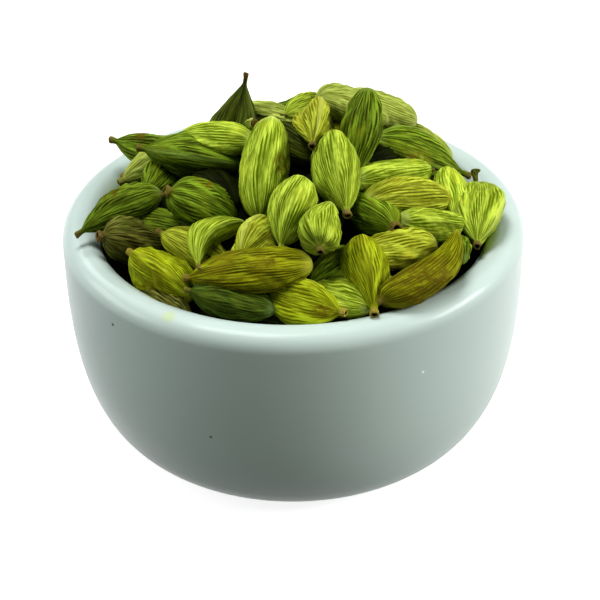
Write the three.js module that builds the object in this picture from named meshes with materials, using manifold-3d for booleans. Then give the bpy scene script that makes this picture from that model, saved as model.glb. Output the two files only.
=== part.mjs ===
// A small white bowl heaped with green cardamom pods.
// Millimetres, +Z up, origin at the middle of the bowl's resting face.
import * as THREE from "three";
import { mergeVertices } from "three/addons/utils/BufferGeometryUtils.js";
import Module from "manifold-3d";

// Driving dimensions of the bowl
const BOWL_RADIUS = 40;
const BOWL_HEIGHT = 40.5;
const BASE_RADIUS = 25;
const SHOULDER_DROP = 3;        // the side turns into the lip this far below the top
const SIDE_FLATTENING = 2.9;    // exponents of the side's superellipse
const SIDE_FULLNESS = 2.5;
const LIP_WIDTH = 6.5;
const LIP_ROUNDING = 3;         // outer and inner edge of the lip
const FLOOR_THICKNESS = 7;
const WELL_CORNER = 16;         // round corner between inner wall and floor
const BOWL_SIDES = 48;

// Driving dimensions of the heap
const HEAP_RISE = 17.5;         // pod axes in the middle of the heap, above the lip
const HEAP_RIM_RADIUS = 33.5;   // where the axes come down to the lip
const SWELL_RISE = 3;           // the heap is fuller on the far side of the middle
const SWELL_CENTRE = [5, 11];
const SWELL_WIDTH = 11;
const DIP_DEPTH = 7;            // it sinks at the far left
const DIP_CENTRE = [-14, 22];
const DIP_WIDTH = 14;
const CORE_DEPTH = 3.4;         // core's surface below the pod axes
const CORE_SIDES = 40;
const CLEARANCE = 0.3;          // gap between heap and bowl

// Driving dimensions of a pod
const STUB_RADIUS = 0.7;        // the bit of stalk left on a pod
const STUB_LENGTH = 1.3;
const TIP_BLUNTNESS = 0.5;
const LOBE_DEPTH = 0.1;         // a pod's section has three soft corners
const POD_SIDES = 7;
const POD_RINGS = [0.1, 0.28, 0.52, 0.77, 0.94];

// The pods that lie where nothing else covers them: both ends of each as
// x, y and height above the lip, then its breadth, where along its length it
// is broadest, and how far it bows to its right
const SHOWN_PODS = [
  // along the front edge, left to right
  { stem: [-35.5, -10, 2.5], tip: [-22, -5, 7], breadth: 6.4, fullest: 0.6, bow: -1.2 },
  { stem: [-31.5, -13, 3], tip: [-20, -9, -1], breadth: 7.2, fullest: 0.42, bow: 0 },
  { stem: [-26.5, -16.5, 2], tip: [-16.5, -26.5, -0.5], breadth: 7.9, fullest: 0.5, bow: 0 },
  { stem: [-25.5, -21, -2], tip: [-16.5, -30, -1.5], breadth: 6.2, fullest: 0.5, bow: 0 },
  { stem: [-16.5, -28, 1.5], tip: [-3, -31.5, 0], breadth: 6.2, fullest: 0.5, bow: 0 },
  { stem: [-16.5, -26, 3], tip: [3, -26.5, 6], breadth: 7, fullest: 0.55, bow: 1.2 },
  { stem: [7, -33.5, 1], tip: [-4.5, -27, 0], breadth: 7.3, fullest: 0.5, bow: 0 },
  { stem: [2, -26.5, 0], tip: [12, -31.5, 0.5], breadth: 5.8, fullest: 0.5, bow: 0 },
  { stem: [12.5, -33, 1], tip: [11, -20, 6], breadth: 7.6, fullest: 0.64, bow: 0 },
  { stem: [14, -31.5, 1.5], tip: [26, -18.5, 4], breadth: 6.4, fullest: 0.3, bow: 3 },
  { stem: [26.5, -14, 2], tip: [28, -19, 1], breadth: 4.4, fullest: 0.5, bow: 0 },
  { stem: [30.5, -15, 2], tip: [32, 3, 3.5], breadth: 7.8, fullest: 0.5, bow: 0.4 },
  // the front slope
  { stem: [-15.5, -25, 5], tip: [-8, -14, 6], breadth: 4.8, fullest: 0.6, bow: -3.4 },
  { stem: [-8.5, -25.5, 6.5], tip: [-3.5, -17, 5.5], breadth: 8, fullest: 0.55, bow: 0 },
  { stem: [-2, -24, 7.5], tip: [1.5, -13, 13.5], breadth: 7.4, fullest: 0.62, bow: 0 },
  { stem: [4, -27, 9], tip: [6, -18, 12], breadth: 6.6, fullest: 0.28, bow: -0.6 },
  { stem: [3, -27, 2], tip: [9.5, -18, 3], breadth: 5, fullest: 0.5, bow: 0 },
  { stem: [3, -26, 0.5], tip: [16.5, -27, 2], breadth: 5, fullest: 0.5, bow: 0 },
  { stem: [11, -22, 4.5], tip: [23.5, -18.5, 3.5], breadth: 6.4, fullest: 0.5, bow: 0 },
  { stem: [28, -11.5, 3.5], tip: [17.5, -16, 7], breadth: 5.4, fullest: 0.5, bow: 0 },
  { stem: [16, -18, 7], tip: [8, -5, 6.5], breadth: 7, fullest: 0.32, bow: 0 },
  { stem: [-21.5, -14.5, 4.5], tip: [-10, -21, 0], breadth: 6.2, fullest: 0.5, bow: 0 },
  { stem: [-22, -10, 2], tip: [-8, -13.5, 3.5], breadth: 5.6, fullest: 0.5, bow: 0 },
  { stem: [-29, -6, 2], tip: [-16, -11, 3], breadth: 5.6, fullest: 0.5, bow: 0 },
  { stem: [-20, -12, 11], tip: [-9.5, -11, 4], breadth: 7.5, fullest: 0.42, bow: -0.8 },
  // over the top, left to right
  { stem: [-25.5, 5, 10], tip: [-8.5, 0, 9.5], breadth: 7.6, fullest: 0.55, bow: 0 },
  { stem: [-19.5, 7, 11], tip: [-6, 0, 13.5], breadth: 6, fullest: 0.5, bow: 0 },
  { stem: [-5.5, -14, 7], tip: [-3.5, 1, 17.5], breadth: 7.7, fullest: 0.5, bow: 0 },
  { stem: [8.5, -18, 10.5], tip: [6.5, -3.5, 16.5], breadth: 7.8, fullest: 0.6, bow: 0 },
  { stem: [3.5, -7, 17], tip: [4.5, 6, 16], breadth: 6.4, fullest: 0.72, bow: 0 },
  { stem: [10.5, -6, 10.5], tip: [13, 5, 21], breadth: 6.5, fullest: 0.5, bow: 0 },
  { stem: [23.5, 2, 6.5], tip: [10, -8, 10], breadth: 6.4, fullest: 0.5, bow: 0 },
  { stem: [26.5, -5.5, 5], tip: [11.5, -14, 9], breadth: 8, fullest: 0.5, bow: 0.6 },
  { stem: [27, -10, 3.5], tip: [27, 4, 5], breadth: 6.4, fullest: 0.5, bow: 0 },
  { stem: [30.5, 9, 2], tip: [14, 6, 11], breadth: 6.6, fullest: 0.6, bow: 0 },
  { stem: [-5.5, 4.5, 14.5], tip: [4.5, -4, 12], breadth: 5.8, fullest: 0.5, bow: 0 },
  // behind the top
  { stem: [-31.5, 16, 6], tip: [-18.5, 9, 6], breadth: 5.4, fullest: 0.6, bow: 0 },
  { stem: [-29.5, 6.5, 3.5], tip: [-17, 14, 6.5], breadth: 5.6, fullest: 0.5, bow: 0 },
  { stem: [-25, -3, 5.5], tip: [-20, 11, 5], breadth: 6.2, fullest: 0.5, bow: 0 },
  { stem: [-7.8, 13, 19], tip: [-11.5, 8, 4], breadth: 8.6, fullest: 0.66, bow: 0 },
  { stem: [-9.5, 17, 12], tip: [1.5, 7, 13.5], breadth: 3.8, fullest: 0.5, bow: 0 },
  { stem: [-1, 8, 15], tip: [7, 14.5, 12], breadth: 6, fullest: 0.5, bow: 0 },
  { stem: [4.5, 9, 17], tip: [17, 14, 10.5], breadth: 6.6, fullest: 0.4, bow: 0 },
  { stem: [8.5, 17, 13.5], tip: [22.5, 17, 8], breadth: 6.4, fullest: 0.55, bow: 0 },
  { stem: [15, 19.5, 7], tip: [28.5, 13.5, 2], breadth: 6, fullest: 0.5, bow: 0 },
];

// The pods on the far side, spread by rule where no other pod lies close: a
// layer on the heap's slope, then one sunk into it
const FAR_SIDE_FROM_Y = 5;
const FILL_PLACES = 150;
const FILL_RADIUS = 32;
const FILL_LIFTS = [0, -2];
const FILL_SPACING = 3.6;
const FILL_LENGTHS = [14, 18.5];
const FILL_BREADTHS = [6, 7.6];
const HEADINGS_TRIED = 8;
const GOLDEN_ANGLE = Math.PI * (3 - Math.sqrt(5));
const SEED = 41;

function seededDraws(seed) {
  let state = seed;
  return (low, high) => {
    state = (state * 16807) % 2147483647;
    return low + (high - low) * (state / 2147483647);
  };
}

// Bell curve of the distance to a centre, 1 at the centre
function bell(x, y, centre, width) {
  const off = Math.hypot(x - centre[0], y - centre[1]) / width;
  return Math.exp(-off * off);
}

// Height of the pod axes above the lip
function heapHeight(x, y) {
  const fall = (Math.hypot(x, y) / HEAP_RIM_RADIUS) ** 1.5;
  return HEAP_RISE - (HEAP_RISE - 0.5) * fall
    + SWELL_RISE * bell(x, y, SWELL_CENTRE, SWELL_WIDTH)
    - DIP_DEPTH * bell(x, y, DIP_CENTRE, DIP_WIDTH);
}

function arc(centreX, centreZ, radius, from, to, steps) {
  const points = [];
  for (let i = 0; i <= steps; i++) {
    const angle = from + (to - from) * (i / steps);
    points.push(new THREE.Vector2(
      centreX + radius * Math.cos(angle),
      centreZ + radius * Math.sin(angle),
    ));
  }
  return points;
}

function outerSide(steps) {
  const rise = BOWL_HEIGHT - SHOULDER_DROP;
  const points = [];
  for (let i = 0; i < steps; i++) {
    const z = rise * (i / steps) ** 2;
    const depth = (1 - z / rise) ** SIDE_FLATTENING;
    const radius = BASE_RADIUS + (BOWL_RADIUS - BASE_RADIUS) * (1 - depth) ** (1 / SIDE_FULLNESS);
    points.push(new THREE.Vector2(radius, z));
  }
  return points;
}

// Lip, inner wall and floor, from the outer edge of the lip to the axis, with
// the surface moved into the hollow by the offset
function innerSide(offset) {
  const lipZ = BOWL_HEIGHT - LIP_ROUNDING;
  const wall = BOWL_RADIUS - LIP_WIDTH;
  return [
    ...arc(BOWL_RADIUS - LIP_ROUNDING, lipZ, LIP_ROUNDING + offset, 0, Math.PI / 2, 4),
    ...arc(wall + LIP_ROUNDING, lipZ, LIP_ROUNDING + offset, Math.PI / 2, Math.PI, 3),
    ...arc(
      wall - WELL_CORNER, FLOOR_THICKNESS + WELL_CORNER, WELL_CORNER - offset,
      0, -Math.PI / 2, 5,
    ),
    new THREE.Vector2(0, FLOOR_THICKNESS + offset),
  ];
}

// Turns a profile about the Z axis
function turned(profile, sides) {
  return new THREE.LatheGeometry(profile, sides).rotateX(Math.PI / 2);
}

function solidFrom(wasm, geometry) {
  geometry.deleteAttribute("normal");
  geometry.deleteAttribute("uv");
  const merged = mergeVertices(geometry, 1e-4);
  return new wasm.Manifold(new wasm.Mesh({
    numProp: 3,
    vertProperties: new Float32Array(merged.attributes.position.array),
    triVerts: new Uint32Array(merged.index.array),
  }));
}

function geometryFrom(solid) {
  const mesh = solid.getMesh();
  const geometry = new THREE.BufferGeometry();
  geometry.setAttribute("position", new THREE.BufferAttribute(mesh.vertProperties, 3));
  geometry.setIndex(new THREE.BufferAttribute(mesh.triVerts, 1));
  geometry.computeVertexNormals();
  return geometry;
}

function bowlGeometry() {
  return turned([new THREE.Vector2(0, 0), ...outerSide(8), ...innerSide(0)], BOWL_SIDES);
}

// Everything within the clearance of the bowl
function bowlWithClearance(wasm) {
  const skirt = BOWL_RADIUS + CLEARANCE;
  const profile = [new THREE.Vector2(0, 0), new THREE.Vector2(skirt, 0), ...innerSide(CLEARANCE)];
  return solidFrom(wasm, turned(profile, BOWL_SIDES));
}

// Rises under the pods that show, and reaches into the bowl's wall and floor,
// which cut it to the hollow's shape
function coreGeometry() {
  const wall = BOWL_RADIUS - LIP_WIDTH + CLEARANCE;
  const profile = [
    new THREE.Vector2(0, FLOOR_THICKNESS / 2),
    new THREE.Vector2(wall, FLOOR_THICKNESS / 2),
  ];
  const steps = 7;
  for (let i = 0; i <= steps; i++) {
    profile.push(new THREE.Vector2(wall * (1 - i / steps), BOWL_HEIGHT));
  }
  const geometry = turned(profile, CORE_SIDES);
  const position = geometry.attributes.position;
  for (let i = 0; i < position.count; i++) {
    if (position.getZ(i) > FLOOR_THICKNESS) {
      const height = heapHeight(position.getX(i), position.getY(i)) - CORE_DEPTH;
      position.setZ(i, BOWL_HEIGHT + height);
    }
  }
  return geometry;
}

function bodyRadius(along, pod) {
  const rise = TIP_BLUNTNESS * pod.fullest / (1 - pod.fullest);
  const swell = (t) => t ** rise * (1 - t) ** TIP_BLUNTNESS;
  return Math.max(STUB_RADIUS, pod.breadth / 2 * swell(along) / swell(pod.fullest));
}

// A spindle of rings from the stub to the tip, with three soft corners
function podGeometry(pod, roll) {
  const stem = new THREE.Vector3(...pod.stem);
  const tip = new THREE.Vector3(...pod.tip);
  const axis = tip.clone().sub(stem);
  const length = axis.length();
  axis.normalize();
  const right = new THREE.Vector3(axis.y, -axis.x, 0).normalize();
  const up = new THREE.Vector3().crossVectors(right, axis);
  const rings = [
    { along: -STUB_LENGTH / length, radius: STUB_RADIUS },
    ...POD_RINGS.map((along) => ({ along, radius: bodyRadius(along, pod) })),
  ];
  const positions = [];
  const push = (vector) => positions.push(vector.x, vector.y, vector.z + BOWL_HEIGHT);
  const centreAt = (along) => stem.clone()
    .addScaledVector(axis, along * length)
    .addScaledVector(right, 4 * pod.bow * along * (1 - along));
  for (const ring of rings) {
    for (let i = 0; i < POD_SIDES; i++) {
      const angle = 2 * Math.PI * i / POD_SIDES;
      const lobe = 1 + LOBE_DEPTH * Math.cos(3 * (angle - roll));
      const reach = ring.radius * (ring.along < 0 ? 1 : lobe);
      push(centreAt(ring.along)
        .addScaledVector(right, reach * Math.cos(angle))
        .addScaledVector(up, reach * Math.sin(angle)));
    }
  }
  const stubCentre = positions.length / 3;
  push(centreAt(rings[0].along));
  push(centreAt(1));
  const index = [];
  for (let i = 0; i < POD_SIDES; i++) {
    const next = (i + 1) % POD_SIDES;
    const last = (rings.length - 1) * POD_SIDES;
    index.push(stubCentre, i, next);
    index.push(stubCentre + 1, last + next, last + i);
    for (let k = 0; k < rings.length - 1; k++) {
      const low = k * POD_SIDES;
      const high = low + POD_SIDES;
      index.push(low + i, high + i, high + next, low + i, high + next, low + next);
    }
  }
  const geometry = new THREE.BufferGeometry();
  geometry.setAttribute("position", new THREE.Float32BufferAttribute(positions, 3));
  geometry.setIndex(index);
  return geometry;
}

function distanceToPod(point, pod) {
  const line = new THREE.Line3(new THREE.Vector3(...pod.stem), new THREE.Vector3(...pod.tip));
  return line.closestPointToPoint(point, true, new THREE.Vector3()).distanceTo(point);
}

// A straight pod lying along the heap's slope, its ends kept inside the lip
function podOnSlope(middle, heading, length, breadth, lift) {
  const endAt = (side) => {
    const x = middle[0] + side * length / 2 * Math.cos(heading);
    const y = middle[1] + side * length / 2 * Math.sin(heading);
    const inwards = Math.min(1, FILL_RADIUS / Math.hypot(x, y));
    return [x * inwards, y * inwards, heapHeight(x * inwards, y * inwards) + lift];
  };
  return { stem: endAt(-1), tip: endAt(1), breadth, fullest: 0.5, bow: 0 };
}

function liesClear(pod, others) {
  const line = new THREE.Line3(new THREE.Vector3(...pod.stem), new THREE.Vector3(...pod.tip));
  return [0.15, 0.5, 0.85].every((along) => {
    const point = line.at(along, new THREE.Vector3());
    return others.every((other) => distanceToPod(point, other) > FILL_SPACING);
  });
}

// Places on a sunflower spiral over the heap's far side, each taken by a pod
// if one of the headings tried there lies clear of the others
function fillPods(draw) {
  const pods = [];
  const takePlace = (middle, lift) => {
    const length = draw(...FILL_LENGTHS);
    const breadth = draw(...FILL_BREADTHS);
    const firstHeading = draw(0, Math.PI);
    for (let i = 0; i < HEADINGS_TRIED; i++) {
      const heading = firstHeading + Math.PI * i / HEADINGS_TRIED;
      const pod = podOnSlope(middle, heading, length, breadth, lift);
      if (liesClear(pod, [...SHOWN_PODS, ...pods])) {
        pods.push(pod);
        return;
      }
    }
  };
  for (const lift of FILL_LIFTS) {
    for (let k = 0; k < FILL_PLACES; k++) {
      const radius = FILL_RADIUS * Math.sqrt((k + 0.5) / FILL_PLACES);
      const turn = k * GOLDEN_ANGLE;
      const middle = [radius * Math.cos(turn), radius * Math.sin(turn)];
      if (middle[1] > FAR_SIDE_FROM_Y) {
        takePlace(middle, lift);
      }
    }
  }
  return pods;
}

// Core and pods fused into one solid, clear of the bowl. Only the outer skin
// is kept, so sealed hollows are filled and loose scraps dropped.
function heapGeometry(wasm) {
  const draw = seededDraws(SEED);
  let heap = solidFrom(wasm, coreGeometry());
  for (const pod of [...SHOWN_PODS, ...fillPods(draw)]) {
    heap = heap.add(solidFrom(wasm, podGeometry(pod, draw(0, Math.PI))));
  }
  const clear = heap.subtract(bowlWithClearance(wasm));
  const pieces = clear.decompose();
  pieces.sort((a, b) => b.volume() - a.volume());
  return geometryFrom(pieces[0]);
}

function namedMesh(name, geometry, color, roughness) {
  const material = new THREE.MeshStandardMaterial({ color, roughness, metalness: 0 });
  const mesh = new THREE.Mesh(geometry, material);
  mesh.name = name;
  return mesh;
}

const wasm = await Module();
wasm.setup();

const group = new THREE.Group();
group.add(namedMesh("bowl", bowlGeometry(), 0xd9e4df, 0.25));
group.add(namedMesh("cardamom_pods", heapGeometry(wasm), 0x8aa524, 0.6));

export default group;
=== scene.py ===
"""A small white bowl heaped with green cardamom pods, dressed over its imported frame."""

import math
from collections import namedtuple

import bpy
import numpy as np
from mathutils import Matrix, Vector


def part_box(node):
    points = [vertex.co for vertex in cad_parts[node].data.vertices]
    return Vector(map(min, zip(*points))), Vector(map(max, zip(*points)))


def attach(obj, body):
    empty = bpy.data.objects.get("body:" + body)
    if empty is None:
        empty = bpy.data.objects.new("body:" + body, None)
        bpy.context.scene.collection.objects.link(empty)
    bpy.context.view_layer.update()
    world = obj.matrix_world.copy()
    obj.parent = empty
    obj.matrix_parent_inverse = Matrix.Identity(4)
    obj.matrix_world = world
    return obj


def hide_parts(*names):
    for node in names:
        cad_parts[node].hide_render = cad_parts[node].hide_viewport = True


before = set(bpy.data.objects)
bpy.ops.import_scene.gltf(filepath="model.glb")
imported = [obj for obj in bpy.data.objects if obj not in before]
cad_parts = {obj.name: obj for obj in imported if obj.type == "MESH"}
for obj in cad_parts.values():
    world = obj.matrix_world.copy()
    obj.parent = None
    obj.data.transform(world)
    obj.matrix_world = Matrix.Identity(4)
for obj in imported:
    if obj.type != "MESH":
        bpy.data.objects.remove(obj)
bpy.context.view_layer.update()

bl_info = {
    "name": "Bowl of Cardamom Pods",
    "version": (1, 0, 0),
    "blender": (4, 5, 0),
    "location": "3D View > Sidebar > Cardamom",
    "description": "Makes a glazed bowl and the heap of cardamom pods in it",
    "category": "Add Mesh",
}

MM = 0.001

# The bowl's box at rest gives its two main sizes
BOWL_LOW, BOWL_HIGH = (np.array(corner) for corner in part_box("bowl"))
BOWL_HEIGHT = BOWL_HIGH[2] / MM
BOWL_RADIUS = (BOWL_HIGH[0] - BOWL_LOW[0]) / 2 / MM

# Steps round the bowl, up its side, over the two edges of its lip and round its well's corner
BOWL_SIDES = 192
SIDE_STEPS = 48
OUTER_EDGE_STEPS = 14
INNER_EDGE_STEPS = 12
WELL_STEPS = 12
# The side's steps crowd towards its foot by this power, because it bends most there
SIDE_CROWDING = 1.7

# The heap's slope: height of the pod axes above the lip in mm, in the middle and at the rim,
# then a swell behind the middle and a dip at the far left
HEAP_RISE = 17.5
HEAP_RIM_RISE = 0.5
HEAP_RIM_RADIUS = 33.5
SWELL_RISE = 3.0
SWELL_CENTRE = (5.0, 11.0)
SWELL_WIDTH = 11.0
DIP_DEPTH = 7.0
DIP_CENTRE = (-14.0, 22.0)
DIP_WIDTH = 14.0

# The hidden core: its gap to the bowl and how far its edge lies below the lip, in mm, the
# radius of its middle ring, and its steps round, along its lower corner and across its top
CORE_GAP = 0.4
CORE_EDGE_DROP = 4.0
CORE_MIDDLE_RADIUS = 0.2
CORE_SIDES = 96
CORE_CORNER_STEPS = 10
CORE_TOP_STEPS = 30

# Grid of one pod's skin: columns for each rib, rings from neck to tip, and rib spacing in mm
# on the filling pods, which need less of both
COLUMNS_PER_RIB = 2
SHOWN_RINGS = 58
HIDDEN_RINGS = 30
HIDDEN_RIB_SPACING = 0.75
# The rings divide this part of a half turn evenly, so they crowd towards both ends
RING_SPAN = (0.06, 0.985)
STALK_LENGTH = 1.3
# The stalk's cut end, from the bottom of its hole out over the rim and back
# to the neck: place along the stalk, radius, and how far it is from husk
STALK_RINGS = (
    (-0.45, 0.02, -3.0),
    (-0.50, 0.36, -3.0),
    (-0.86, 0.56, -2.0),
    (-1.00, 0.76, -1.0),
    (-0.94, 1.02, -1.0),
    (-0.74, 1.12, -1.0),
    (-0.45, 0.98, -0.8),
    (-0.15, 0.90, -0.45),
)

# How a pod's skin leaves a smooth spindle. Lumps, crinkles and the wobble of the stalk's rim
# are shares of the radius. The ribs twist and swing by these angles in radians, and folds
# that several ribs share are this much as deep as a rib.
LUMPS = 0.03
CRINKLE = 0.022
RIM_WOBBLE = 0.07
RIB_TWIST = 0.35
RIB_SWING = 0.07
FOLDS = 0.45
# A rib's outline is a sine to this power. Its strength is about the first share, give or
# take the second, and the third is its strength on the stalk.
RIB_POWER = 0.8
RIB_STRENGTH = 0.75
RIB_STRENGTH_CHANGE = 0.6
STALK_RIB_STRENGTH = 0.6
# Limits of the strength in a rib's relief and in its vein's colour, which darkens the grooves
# partly as painted shade
RELIEF_LIMITS = (0.05, 1.8)
VEIN_AND_GROOVE_SHADE_LIMITS = (0.0, 1.2)
# A lobe is a soft wave and a ridge, less what the two add to the girth. Lobes of the
# last share or more have full pale keels.
LOBE_WAVE = 0.7
LOBE_RIDGE = 1.1
LOBE_GIRTH = 0.4
KEELED_LOBES = 0.2
# Mm over which the stalk widens into the body, and the neck's radius as a share of the
# stalk's: a part that it always has and a part that fades away from the stalk
NECK_LENGTH = 1.6
NECK_SHARES = (0.62, 0.3)
# Mm by which a pod's axis wavers, and the waver's radians from end to end, aside and up
AXIS_WAVER = 0.22
WAVER_ASIDE = 5
WAVER_UP = 4
# The tip's pole is this many mm beyond the last ring
TIP_LENGTH = 0.02
# The sines behind each wave: limits of the whole waves round and of the radians from end
# to end, and how many sines are added up
SWING_WAVES = ((1, 5), (2, 9), 5)
LUMP_WAVES = ((1, 5), (4, 12), 5)
CRINKLE_WAVES = ((3, 12), (14, 55), 9)
STRENGTH_WAVES = ((3, 14), (2, 18), 9)
FOLD_WAVES = ((6, 13), (1, 7), 4)
RIM_WAVES = ((2, 6), (1, 3), 3)
# The grain of each pod starts at a random place within this many mm
GRAIN_START = 400

# One pod: both ends (x, y and height above the lip), its breadth, where along
# its length it is broadest, its kind of husk, how far it bows to its right,
# how pointed its tip is, the depth of its ribs in mm, of its three lobes as a
# share, its turn about its own axis in degrees, its stalk's radius, and its
# brown patch: place along the pod, turn in degrees and size in mm. The patch is
# a scar on some pods and painted shade over the shaded side of others.
Pod = namedtuple("Pod", "stem tip breadth fullest kind bow point ribs lobes turn stalk scar",
                 defaults=(0.0, 0.5, 0.17, 0.08, 0.0, 0.62, (0.0, 0.0, 0.0)))

# The pods that lie where nothing else covers them
SHOWN_PODS = (
    # along the front edge, left to right
    Pod((-35.5, -10, 2.5), (-22, -5, 7), 6.4, 0.60, "deep", bow=-1.2, point=0.6, stalk=0.5,
        scar=(0.5, 110, 2.2)),
    Pod((-31.5, -13, 3), (-20, -9, -1), 7.2, 0.42, "browned", ribs=0.3, turn=20, stalk=0.86),
    # this pod's big brown patch is painted shade over its shaded lower half
    Pod((-26.5, -16.5, 2), (-16.5, -26.5, -0.5), 7.9, 0.50, "golden", lobes=0.12, turn=60,
        scar=(0.6, -40, 4.5)),
    # painted shade: this dark browned pod stands in for the golden pod's shaded lower half
    Pod((-25.8, -21.2, -2.8), (-16.8, -30, -2.3), 6.2, 0.50, "browned"),
    Pod((-16.5, -28, 1.5), (-3, -31.5, 0), 6.2, 0.50, "grey", lobes=0.08, turn=30, stalk=0.45),
    Pod((-16.5, -26, 3), (3, -26.5, 6), 7.0, 0.55, "olive", bow=1.2, ribs=0.16, point=0.45,
        scar=(0.67, 60, 1.5)),
    Pod((7, -33.5, 1), (-4.5, -27, 0), 7.3, 0.50, "golden", ribs=0.1, lobes=0.12, turn=80,
        point=0.6, stalk=0.62, scar=(0.12, 150, 2.2)),
    Pod((2, -26.5, 0), (12, -31.5, 0.5), 5.8, 0.50, "fresh"),
    Pod((12.5, -33, 1), (11, -20, 6), 7.6, 0.64, "golden", ribs=0.12, lobes=0.1, turn=90,
        stalk=0.75),
    Pod((14, -31.5, 1.5), (26.8, -17, 6), 5.8, 0.27, "olive", bow=3.4, ribs=0.1, point=0.64,
        scar=(0.3, 20, 6.0)),
    Pod((26.5, -14, 2), (28, -19, 1), 4.4, 0.50, "deep"),
    Pod((30.5, -15, 2), (32, 3, 3.5), 7.8, 0.50, "fresh", bow=0.4, ribs=0.1, lobes=0.2,
        turn=150, point=0.75, scar=(1.0, 0, 1.2)),
    # a dry curled stalk on the last one
    Pod((31.5, 2.6, 4.2), (32.5, 3.4, 5.8), 1.3, 0.45, "browned", bow=-0.3, ribs=0.05, stalk=0.5),
    # the front slope
    Pod((-15.5, -25, 5), (-8, -14, 6), 4.8, 0.60, "fresh", bow=-3.4, ribs=0.07, lobes=0.12,
        turn=40),
    Pod((-8.5, -25.5, 6.5), (-3.5, -17, 5.5), 8.0, 0.55, "ripe", ribs=0.07, lobes=0.2, turn=100,
        point=0.45),
    Pod((-2, -24, 7.5), (1.5, -13, 13.5), 7.4, 0.62, "fresh", lobes=0.08, turn=75),
    Pod((4, -27, 9), (6, -18, 12), 6.6, 0.28, "fresh", bow=-0.6, lobes=0.1, point=0.8),
    Pod((3, -27, 2), (9.5, -18, 3), 5.0, 0.50, "deep"),
    Pod((3, -26, 0.5), (16.5, -27, 2), 5.0, 0.50, "fresh"),
    Pod((11, -22, 4.5), (23.5, -18.5, 3.5), 6.4, 0.50, "ripe", ribs=0.2, point=0.4),
    Pod((28, -11.5, 3.5), (17.5, -16, 7), 5.4, 0.50, "fresh", ribs=0.14, lobes=0.08, point=0.3,
        scar=(1.0, 0, 1.2)),
    Pod((16, -18, 7), (8, -5, 6.5), 7.0, 0.32, "deep", ribs=0.05, point=0.9, stalk=1.1),
    Pod((-21.5, -14.5, 4.5), (-10, -21, 0), 6.2, 0.50, "ripe", lobes=0.08),
    Pod((-22, -10, 2), (-8, -13.5, 3.5), 5.6, 0.50, "grey", ribs=0.2),
    Pod((-29, -6, 2), (-16, -11, 3), 5.6, 0.50, "deep"),
    Pod((-20, -12, 11), (-9.5, -11, 4), 7.5, 0.42, "deep", bow=-0.8, ribs=0.24, stalk=0.95,
        scar=(0.35, 110, 2.0)),
    # over the top, left to right
    Pod((-25.5, 5, 10), (-8.5, 0, 9.5), 7.6, 0.55, "deep", ribs=0.28, lobes=0.18, turn=150,
        point=0.7),
    Pod((-19.5, 7, 11), (-6, 0, 13.5), 6.0, 0.50, "fresh", ribs=0.16),
    Pod((-5.5, -14, 7), (-3.5, 1, 17.5), 7.7, 0.50, "fresh", ribs=0.14, turn=80, point=0.4,
        scar=(0.5, 25, 2.6)),
    Pod((8.5, -18, 10.5), (6.5, -3.5, 16.5), 7.8, 0.60, "fresh", ribs=0.14, turn=90, stalk=0.72),
    Pod((3.5, -7, 17), (4.5, 6, 16), 6.4, 0.72, "ripe", ribs=0.2, lobes=0.2, turn=75,
        point=0.4),
    Pod((10.5, -6, 10.5), (13, 5, 21), 6.5, 0.50, "deep", lobes=0.1, turn=30, point=0.6),
    Pod((23.5, 2, 6.5), (10, -8, 10), 6.4, 0.50, "fresh", ribs=0.08, point=0.4, stalk=0.3),
    Pod((26.5, -5.5, 5), (11.5, -14, 9), 8.0, 0.50, "ripe", bow=0.6, ribs=0.32),
    Pod((27, -10, 3.5), (27, 4, 5), 6.4, 0.50, "fresh", ribs=0.1),
    # this pod's big brown patch is painted shade on its lower side, below the keel
    Pod((30.5, 9, 2), (14, 6, 11), 6.6, 0.60, "deep", ribs=0.16, lobes=0.2, turn=60, point=0.8,
        scar=(0.6, 215, 4.5)),
    Pod((-5.5, 4.5, 14.5), (4.5, -4, 12), 5.8, 0.50, "dark", ribs=0.18),
    # behind the top
    Pod((-31.5, 16, 6), (-18.5, 9, 6), 5.4, 0.60, "deep", ribs=0.08, lobes=0.2, turn=90,
        scar=(0.4, 90, 1.5)),
    Pod((-29.5, 6.5, 3.5), (-17, 14, 6.5), 5.6, 0.50, "pale"),
    Pod((-25, -3, 5.5), (-20, 11, 5), 6.2, 0.50, "deep", ribs=0.2),
    Pod((-7.8, 13, 19), (-11.5, 8, 4), 8.6, 0.66, "dark", ribs=0.08, lobes=0.2, turn=45,
        point=0.65, stalk=0.45),
    Pod((-9.5, 17, 12), (1.5, 7, 13.5), 3.8, 0.50, "pale"),
    # a dry curled stalk behind the tall pod in the middle
    Pod((-7, -1, 16.9), (-6.6, -1.5, 19), 0.8, 0.50, "pale", bow=0.4, stalk=0.25),
    Pod((-1, 8, 15), (7, 14.5, 12), 6.0, 0.50, "fresh", ribs=0.08, stalk=0.15),
    Pod((4.5, 9, 17), (17, 14, 10.5), 6.6, 0.40, "pale", ribs=0.04, stalk=0.15),
    Pod((8.5, 17, 13.5), (22.5, 17, 8), 6.4, 0.55, "pale", ribs=0.06, lobes=0.08),
    Pod((15, 19.5, 7), (28.5, 13.5, 2), 6.0, 0.50, "pale", ribs=0.06, lobes=0.08),
)

# Pods that fill the far side and the gaps, laid by rule. Each layer is its
# lift over the heap's slope and the lowest y it reaches, in mm.
FILL_LAYERS = ((0.0, 5.0), (-2.0, 5.0), (-5.0, -40.0))
# Pods of layers below this lift are painted nearly black as shade up to this y, where they only
# show in gaps
SHADED_LIFT = -3.0
SHADED_Y = 6.0
FILL_PLACES = 150
FILL_RADIUS = 32.0
FILL_SPACING = 3.6
FILL_LENGTHS = (14.0, 18.5)
FILL_BREADTHS = (6.0, 7.6)
FILL_KINDS = ("deep", "fresh", "ripe", "olive", "pale", "fresh", "golden", "deep")
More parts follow.
